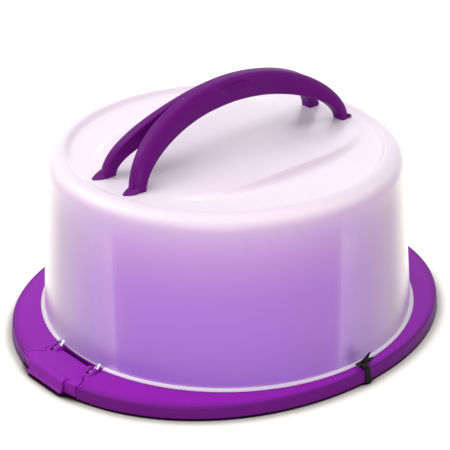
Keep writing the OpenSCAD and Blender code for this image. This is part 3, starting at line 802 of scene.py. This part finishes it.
def arch_frame(s):
    """Point on the top line, inward normal and depth of the section there."""
    step = math.radians(TANGENT_DEG)
    if abs(s) > math.radians(UPRIGHT_DEG):
        along = np.array([0.0, -math.copysign(1.0, s)])
    else:
        along = arch_point(s + step) - arch_point(s - step)
    normal = np.array([along[1], -along[0]]) / np.linalg.norm(along)
    return arch_point(s), normal, GRIP_T + (LEG_T - GRIP_T) * abs(math.sin(s)) ** THIN_POWER


def splay(y, start, power):
    return max(0.0, (abs(y) - start) / (HALF_SPAN - start)) ** power


def leg_sides(y):
    inner = (FEET_W / 2 - LEG_W) * splay(y, FORK_Y, PART_POWER)
    outer = GRIP_W / 2 + (FEET_W - GRIP_W) / 2 * splay(y, FORK_Y - SPREAD_LEAD, SPREAD_POWER)
    return inner, outer


def arc_of(cx, cd, rx, rd, start, steps):
    """A quarter of an ellipse as (x, depth) points, depth counted down from the top line."""
    return [(cx + rx * math.cos(math.radians(start + 90 * k / steps)),
             cd + rd * math.sin(math.radians(start + 90 * k / steps))) for k in range(steps + 1)]


def handle_section(s):
    """Section of the +X half: a narrow top, an outer side that swells downwards, a plain inner side."""
    point, normal, depth = arch_frame(s)
    inner_x, outer_x = leg_sides(point[0])
    width = outer_x - inner_x
    small = min(TOP_EASE, inner_x)
    section = arc_of(inner_x + RIDGE * width, SWELL * depth, (1 - RIDGE) * width, SWELL * depth, -90, 9)
    section += arc_of(outer_x - LOW_EASE, depth - LOW_EASE, LOW_EASE, LOW_EASE, 0, 4)
    section += arc_of(inner_x + small, depth - small, small, small, 90, 3)
    section += arc_of(inner_x + small, small, small, small, 180, 3)
    return [(x, *(point + normal * d)) for x, d in section]


print("grip, mm:", GRIP_W, "wide,", GRIP_T, "deep, top at", HANDLE_TOP)

# %% Build the handle
GRIP_STATIONS, LEG_STATIONS, LEG_CROWDING = 41, 43, 1.25
fork_s = math.asin(FORK_Y / HALF_SPAN)
grip_part = np.linspace(-fork_s, fork_s, GRIP_STATIONS)
leg_part = fork_s + (math.pi / 2 - fork_s) * np.linspace(0, 1, LEG_STATIONS)[1:] ** LEG_CROWDING
stations = np.concatenate([-leg_part[::-1], grip_part, leg_part])
sections = [handle_section(s) for s in stations]
m = len(sections[0])
handle_points = [p for section in sections for p in section]
handle_faces = [f for f in rows_to_faces(len(sections), m)
                if not all(abs(handle_points[k][0]) < 1e-6 for k in f)]
handle_faces.append(tuple(range(m)))
handle_faces.append(tuple(range((len(sections) - 1) * m, len(sections) * m)))
count = len(handle_points)
handle_points += [(-x, y, z) for x, y, z in handle_points]
handle_faces += [tuple(k + count for k in f)[::-1] for f in handle_faces]
handle_arch = make_piece("handle_arch", handle_points, handle_faces)
handle_arch.data.materials.append(handle_purple)
close_up(handle_arch, sharp_deg=40)

# %% [markdown]
# ## Finger scoops
# A long lens-shaped scoop is pressed into each side of the grip. A spindle, a circle's arc turned
# about its own chord, is sunk 3 mm into the side and cut away. The side swells downwards, so the
# cutter's place follows from the section's ellipse.

# %% Cut the scoops
SCOOP_LEN, SCOOP_DEEP, SCOOP_Z, SCOOP_HALF_H = 46.0, 3.0, 205.0, 6.0
SCOOP_ROWS, SCOOP_SIDES = 31, 48


def spindle(name, centre_x):
    bow = (SCOOP_LEN ** 2 / 4 + SCOOP_HALF_H ** 2) / (2 * SCOOP_HALF_H)
    around = [2 * math.pi * k / SCOOP_SIDES for k in range(SCOOP_SIDES)]
    points = []
    for y in np.linspace(-SCOOP_LEN / 2, SCOOP_LEN / 2, SCOOP_ROWS + 2)[1:-1]:
        r = SCOOP_HALF_H - bow + math.sqrt(bow ** 2 - y ** 2)
        points += [(centre_x + r * math.cos(a), y, SCOOP_Z + r * math.sin(a)) for a in around]
    faces = rows_to_faces(SCOOP_ROWS, SCOOP_SIDES)
    points += [(centre_x, -SCOOP_LEN / 2, SCOOP_Z), (centre_x, SCOOP_LEN / 2, SCOOP_Z)]
    low, high, last = len(points) - 2, len(points) - 1, (SCOOP_ROWS - 1) * SCOOP_SIDES
    faces += [((k + 1) % SCOOP_SIDES, k, low) for k in range(SCOOP_SIDES)]
    faces += [(last + k, last + (k + 1) % SCOOP_SIDES, high) for k in range(SCOOP_SIDES)]
    return close_up(make_piece(name, points, faces))


side_share = 1 - (HANDLE_TOP - SCOOP_Z) / (SWELL * GRIP_T)
side_x = GRIP_W / 2 * (RIDGE + (1 - RIDGE) * math.sqrt(1 - side_share ** 2))
scoop_x = side_x + SCOOP_HALF_H - SCOOP_DEEP
print("grip's side at the scoop, mm:", round(side_x, 2))
carve(handle_arch, [spindle("scoop_right", scoop_x), spindle("scoop_left", -scoop_x)])
close_up(handle_arch, sharp_deg=40)

# %% [markdown]
# ## Feet of the handle
# Each leg ends in a thin pointed toe that runs out over the lid, and in a hooked tab that snaps
# through a slot in the lid. The toe is a short loft that narrows and thins towards its tip. The
# back toes are half as long as the front ones, because they stop where the dish starts to slope.
# The tab is its own outline, carried across the width of the tab.

# %% Shape of a toe
FOOT_X = 20.0
FRONT_TOE_LEN, BACK_TOE_LEN, TOE_LAP = 9.0, 4.5, 3.0
TOE_TIP_T, TOE_HEEL_T, TOE_THIN_POWER = 0.5, 3.6, 2.4
TOE_NARROWING, TOE_NARROW_FROM, TOE_NARROW_POWER, TOE_INSET = 0.75, 0.3, 1.5, 0.05
TOE_STATIONS, TOE_SIDES, TOE_BOXY_X, TOE_BOXY_Z = 12, 16, 0.35, 0.45


def toe(side_x, end, length):
    rings = []
    for t in np.linspace(0, 1, TOE_STATIONS):
        y = HALF_SPAN - TOE_LAP + (length + TOE_LAP) * t
        height = TOE_TIP_T + TOE_HEEL_T * (1 - t) ** TOE_THIN_POWER
        narrowed = max(0.0, (t - TOE_NARROW_FROM) / (1 - TOE_NARROW_FROM)) ** TOE_NARROW_POWER
        half = LEG_W / 2 * (1 - TOE_NARROWING * narrowed) - TOE_INSET
        ring = []
        for k in range(TOE_SIDES):
            a = 2 * math.pi * k / TOE_SIDES
            c, s = math.cos(a), math.sin(a)
            x = half * math.copysign(abs(c) ** TOE_BOXY_X, c)
            z = height / 2 * math.copysign(abs(s) ** TOE_BOXY_Z, s) + height / 2
            ring.append((end * (side_x + x), end * y, FOOT_Z + z))
        rings.append(ring)
    points = [p for ring in rings for p in ring]
    faces = rows_to_faces(TOE_STATIONS, TOE_SIDES)
    faces += [tuple(range(TOE_SIDES)), tuple(range(len(points) - TOE_SIDES, len(points)))]
    return points, faces


print("toes, mm:", FRONT_TOE_LEN, "at the front,", BACK_TOE_LEN, "at the back")


# %% Shape of a snap tab
TAB_W, TAB_T, TAB_BACK, TAB_BELOW, TAB_TALL, TAB_LEAD = 8.0, 4.0, 3, 3, 5.4, 0.4
TAB_Y = HALF_SPAN - LEG_T / 2 - TAB_BACK
TAB_HOOK = ((0.0, 2.8), (1.3, 2.8), (1.4, 2.3), (0.1, 0.3))


def tab(side_x):
    low = DISH_Z - LID_WALL - TAB_BELOW
    near, far = TAB_Y - TAB_T / 2, TAB_Y + TAB_T / 2
    outline = [(near + TAB_LEAD, low), (far, low), (far, low + TAB_TALL), (near, low + TAB_TALL)]
    outline += [(near - out, low + up) for out, up in TAB_HOOK]
    n = len(outline)
    points = [(side_x + w, y, z) for w in (-TAB_W / 2, TAB_W / 2) for y, z in outline]
    faces = [tuple(range(n)), tuple(range(n, 2 * n))[::-1]]
    faces += [(i, (i + 1) % n, n + (i + 1) % n, n + i) for i in range(n)]
    return points, faces


print("tabs, mm:", TAB_W, "wide,", TAB_T, "thick, at", TAB_Y, "from the handle's middle")


# %% Build toes and tabs
SLOT_GAP, SLOT_LOW_Z, SLOT_HIGH_Z = 0.3, 140.0, 165.0


def gather(name, parts, material):
    """One piece from several lots of points and faces."""
    points, faces = [], []
    for part_points, part_faces in parts:
        faces += [tuple(k + len(points) for k in f) for f in part_faces]
        points += part_points
    piece = make_piece(name, points, faces)
    piece.data.materials.append(material)
    return piece


def move_back(piece):
    """The handle sits a little behind the lid's middle."""
    piece.data.transform(Matrix.Translation((0, HANDLE_SHIFT * MM, 0)))
    return piece


move_back(handle_arch)
toe_ends = ((-1, FRONT_TOE_LEN), (1, BACK_TOE_LEN))
toe_lots = [toe(side * FOOT_X, end, length) for side in (-1, 1) for end, length in toe_ends]
handle_toes = gather("handle_toes", toe_lots, handle_purple)
close_up(move_back(handle_toes))
handle_tabs = both_ends(gather("handle_tabs", [tab(-FOOT_X), tab(FOOT_X)], handle_purple))
close_up(move_back(handle_tabs))
slots = []
for side, end in ((-1, -1), (-1, 1), (1, -1), (1, 1)):
    slot_outline = oblong(side * FOOT_X, end * TAB_Y + HANDLE_SHIFT,
                          TAB_W / 2 + SLOT_GAP, TAB_T / 2 + SLOT_GAP)
    slots.append(close_up(block(f"slot_{len(slots)}", slot_outline, SLOT_LOW_Z, SLOT_HIGH_Z)))
carve(lid_shell, slots)
close_up(lid_shell, sharp_deg=50)

# %% [markdown]
# ## Clips, rods and knot
# The clips, the rods and the tie's knot keep their CAD solids: their shapes are right, so only
# their material slots are filled with the real finish.

# %% Dress the CAD nodes
for node_name, material in (("front_latch", clip_purple), ("rear_hinge_clip", clip_purple),
                            ("front_latch_rod", steel), ("rear_hinge_rod", steel), ("tie_knot", tie_black)):
    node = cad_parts[node_name]
    node.data.materials.clear()
    node.data.materials.append(material)
    print(node_name, "is now", material.name)

# %% [markdown]
# ## Tie band
# A flat black tie goes through the deck and round the rim. Its cross ribs repeat along its path,
# so Geometry Nodes lay one small rib on points along the path, over a plain band.

# %% Build the tie
TIE_T, TIE_GAP, TIE_HALF_W, TIE_INSIDE, TIE_SKIN = 1.2, 0.2, 2.7, 0.02, 0.25
OVER_EDGE = ((EDGE_R, EDGE_LOW - EDGE_DROP), (0.4, 1.8))
side_r = OVAL_MEAN - OVAL_SWING
skirt_r = side_r + SKIRT_FLARE
through_x = TIE_X + TIE_SLOT / 2
tie_path = [(through_x, DECK_Z + TIE_GAP),
            *((side_r - back, DECK_Z - down + TIE_GAP) for back, down in OVER_EDGE),
            (side_r + TIE_GAP, DECK_Z - EDGE_LOW), (skirt_r + TIE_GAP, SKIRT_Z - TIE_GAP),
            (skirt_r - BASE_WALL - TIE_GAP, SKIRT_Z - TIE_GAP), (through_x, DECK_Z - BASE_WALL - TIE_GAP)]


def rounded_path(points, grow, steps=5):
    """The closed path moved outwards by grow, with arcs at its corners."""
    n, path = len(points), []
    for i in range(n):
        a, b, c = (np.array(points[(i + k) % n]) for k in (-1, 0, 1))
        n1, n2 = ((d / np.linalg.norm(d))[[1, 0]] * (-1, 1) for d in (b - a, c - b))
        start, end = (math.atan2(v[1], v[0]) for v in (n1, n2))
        while end - start > math.pi:
            end -= 2 * math.pi
        while end - start < -math.pi:
            end += 2 * math.pi
        path += [(b[0] + grow * math.cos(t), b[1] + grow * math.sin(t))
                 for t in np.linspace(start, end, steps)]
    return path


inside = rounded_path(tie_path, TIE_INSIDE)
outside = rounded_path(tie_path, TIE_T - TIE_SKIN)
band_edges = ((inside, -TIE_HALF_W), (outside, -TIE_HALF_W), (outside, TIE_HALF_W), (inside, TIE_HALF_W))
band_points = [(x, w, z) for path, w in band_edges for x, z in path]
tie_band = make_piece("tie_ribbon", band_points, rows_to_faces(4, len(inside), wrap_rows=True))
tie_band.data.materials.append(tie_black)
close_up(tie_band)

# %% Lay the ribs along the tie
RIB_R, RIB_PITCH, RIB_LEN, RIB_SIDES = 0.3, 0.9, 5.2, 12
rib_line = rounded_path(tie_path, TIE_T - RIB_R - TIE_INSIDE)
line_mesh = bpy.data.meshes.new("tie_ribs")
line_mesh.from_pydata([(x * MM, 0.0, z * MM) for x, z in rib_line],
                      [(i, (i + 1) % len(rib_line)) for i in range(len(rib_line))], [])
tie_ribs = bpy.data.objects.new("tie_ribs", line_mesh)
bpy.context.scene.collection.objects.link(tie_ribs)
rib_sizes = {"Rib Pitch": RIB_PITCH * MM, "Rib Radius": RIB_R * MM, "Rib Length": RIB_LEN * MM}
rib_tree, rib_in = new_shape_tree("ribs_along_path", rib_sizes)
rib_path = add(rib_tree, "GeometryNodeMeshToCurve", {}, {"Mesh": rib_in.outputs["Geometry"]})
rib_spots = add(rib_tree, "GeometryNodeResampleCurve", {"mode": "LENGTH"}, {
    "Curve": rib_path.outputs["Curve"], "Length": rib_in.outputs["Rib Pitch"]})
rib_shape = add(rib_tree, "GeometryNodeMeshCylinder", {}, {
    "Vertices": RIB_SIDES, "Radius": rib_in.outputs["Rib Radius"], "Depth": rib_in.outputs["Rib Length"]})
rib_across = add(rib_tree, "GeometryNodeTransform", {}, {
    "Geometry": rib_shape.outputs["Mesh"], "Rotation": (math.pi / 2, 0.0, 0.0)})
rib_copies = add(rib_tree, "GeometryNodeInstanceOnPoints", {}, {
    "Points": rib_spots.outputs["Curve"], "Instance": rib_across.outputs["Geometry"]})
rib_whole = add(rib_tree, "GeometryNodeRealizeInstances", {}, {"Geometry": rib_copies.outputs["Instances"]})
rib_painted = add(rib_tree, "GeometryNodeSetMaterial", {}, {
    "Geometry": rib_whole.outputs["Geometry"], "Material": tie_black})
add(rib_tree, "NodeGroupOutput", {}, {"Geometry": rib_painted.outputs["Geometry"]})
run_tree(tie_ribs, rib_tree, rib_sizes)
close_up(tie_ribs)

# %% [markdown]
# ## What moves with what
# Every finer piece rides on the body of the CAD node that it stands for. The node is hidden but
# stays in the model for collision. The lid carries its handle, and the tie stays on the tray.

# %% Ride on the bodies
for piece, body, node_name, slot in (
        (lid_shell, "lid", "lid_dome", "lid_plastic"),
        (lid_lugs, "lid", "lid_dome", "lid_plastic"),
        (tray_rim, "base", "base_tray", "tray_plastic"),
        (tray_floor, "base", "base_tray", "tray_plastic"),
        (handle_arch, "lid", "carry_handle", "handle_plastic"),
        (handle_toes, "lid", "carry_handle", "handle_plastic"),
        (handle_tabs, "lid", "carry_handle", "handle_plastic"),
        (tie_band, "base", "tie_band", "tie_plastic"),
        (tie_ribs, "base", "tie_band", "tie_plastic")):
    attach(piece, body)
    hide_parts(node_name)
    print(piece.name, "rides on", body, "for", node_name)

# %% [markdown]
# ## Floor, world and lamps
# A pale floor and a white world, as in a product photograph. Both show plain white to the camera,
# and to the rays that gloss and clear plastic send out. The floor keeps most of its diffuse shading
# so that the object's shadow stays on it, and goes dark where the tray's skirt closes it in, as the
# thin contact shadow in the photograph does. Three large softboxes light the object: the key from
# the left models the shapes, one from the right lifts the shadow side, and one stands overhead.

# %% Seen directly or in gloss
FLOOR_HALF = 6000
FLOOR_GLOW_SHARE, FLOOR_GLOW = 0.35, 1.9
CONTACT_REACH_M, CONTACT_DARK, CONTACT_CLEAR = 0.016, 0.5, 0.95
WORLD_LIGHT, WORLD_WHITE = 0.7, 1.0


def seen_white(tree):
    """1 for camera, glossy and transmission rays, and 0 for the light on the object."""
    ray = add(tree, "ShaderNodeLightPath")
    direct = calc(tree, "MAXIMUM", ray.outputs["Is Camera Ray"], ray.outputs["Is Glossy Ray"])
    return calc(tree, "MAXIMUM", direct, ray.outputs["Is Transmission Ray"])


print("world light on the object:", WORLD_LIGHT, "and to the eye:", WORLD_WHITE)

# %% Floor
floor_corners = [(x, y, 0) for x, y in oblong(0, 0, FLOOR_HALF, FLOOR_HALF)]
stage_floor = make_piece("stage_floor", floor_corners, [(0, 1, 2, 3)])
paper, paper_tree = new_material("white_paper_floor")
glow_share = calc(paper_tree, "MULTIPLY", seen_white(paper_tree), FLOOR_GLOW_SHARE)
paper_diffuse = add(paper_tree, "ShaderNodeBsdfDiffuse", {}, {"Color": colour("#DED3CA")})
paper_glow = add(paper_tree, "ShaderNodeEmission", {}, {"Color": (1, 1, 1, 1), "Strength": FLOOR_GLOW})
paper_mix = add(paper_tree, "ShaderNodeMixShader", {}, {
    "Fac": glow_share, 1: paper_diffuse.outputs[0], 2: paper_glow.outputs[0]})
contact = add(paper_tree, "ShaderNodeAmbientOcclusion", {"samples": 16}, {"Distance": CONTACT_REACH_M})
contact_light = add(paper_tree, "ShaderNodeMapRange", {"interpolation_type": "SMOOTHSTEP"}, {
    "Value": contact.outputs["AO"], "From Min": CONTACT_DARK, "From Max": CONTACT_CLEAR})
contact_shade = add(paper_tree, "ShaderNodeBsdfDiffuse", {}, {"Color": colour("#2A1420")})
paper_whole = add(paper_tree, "ShaderNodeMixShader", {}, {
    "Fac": contact_light.outputs["Result"], 1: contact_shade.outputs[0], 2: paper_mix.outputs[0]})
add(paper_tree, "ShaderNodeOutputMaterial", {}, {"Surface": paper_whole.outputs[0]})
stage_floor.data.materials.append(paper)
print("floor, m:", tuple(round(d, 1) for d in stage_floor.dimensions))

# %% World
world = bpy.data.worlds.new("studio")
bpy.context.scene.world = world
world.use_nodes = True
world.node_tree.nodes.clear()
world_strength = add(world.node_tree, "ShaderNodeMapRange", {}, {
    "Value": seen_white(world.node_tree), "To Min": WORLD_LIGHT, "To Max": WORLD_WHITE})
world_glow = add(world.node_tree, "ShaderNodeBackground", {}, {
    "Color": (1, 1, 1, 1), "Strength": world_strength.outputs["Result"]})
add(world.node_tree, "ShaderNodeOutputWorld", {}, {"Surface": world_glow.outputs["Background"]})
print("world:", world.name)

# %% Softboxes
AIM = Vector((0, 0, 0.08))


def softbox(name, place, size_m, power_w):
    data = bpy.data.lights.new(name, "AREA")
    data.shape = "SQUARE"
    data.size = size_m
    data.energy = power_w
    lamp = bpy.data.objects.new(name, data)
    lamp.location = place
    lamp.rotation_euler = (AIM - Vector(place)).to_track_quat("-Z", "Y").to_euler()
    bpy.context.scene.collection.objects.link(lamp)
    print(name, power_w, "W", round((AIM - Vector(place)).length, 2), "m away")


softbox("key_softbox", (-2.2, -1.5, 3.0), 2.2, 54.0)
softbox("fill_softbox", (2.4, -2.6, 1.8), 2.4, 48.0)
softbox("top_softbox", (-0.2, 0.3, 3.0), 2.0, 26.0)
bpy.context.scene.view_settings.view_transform = "Standard"
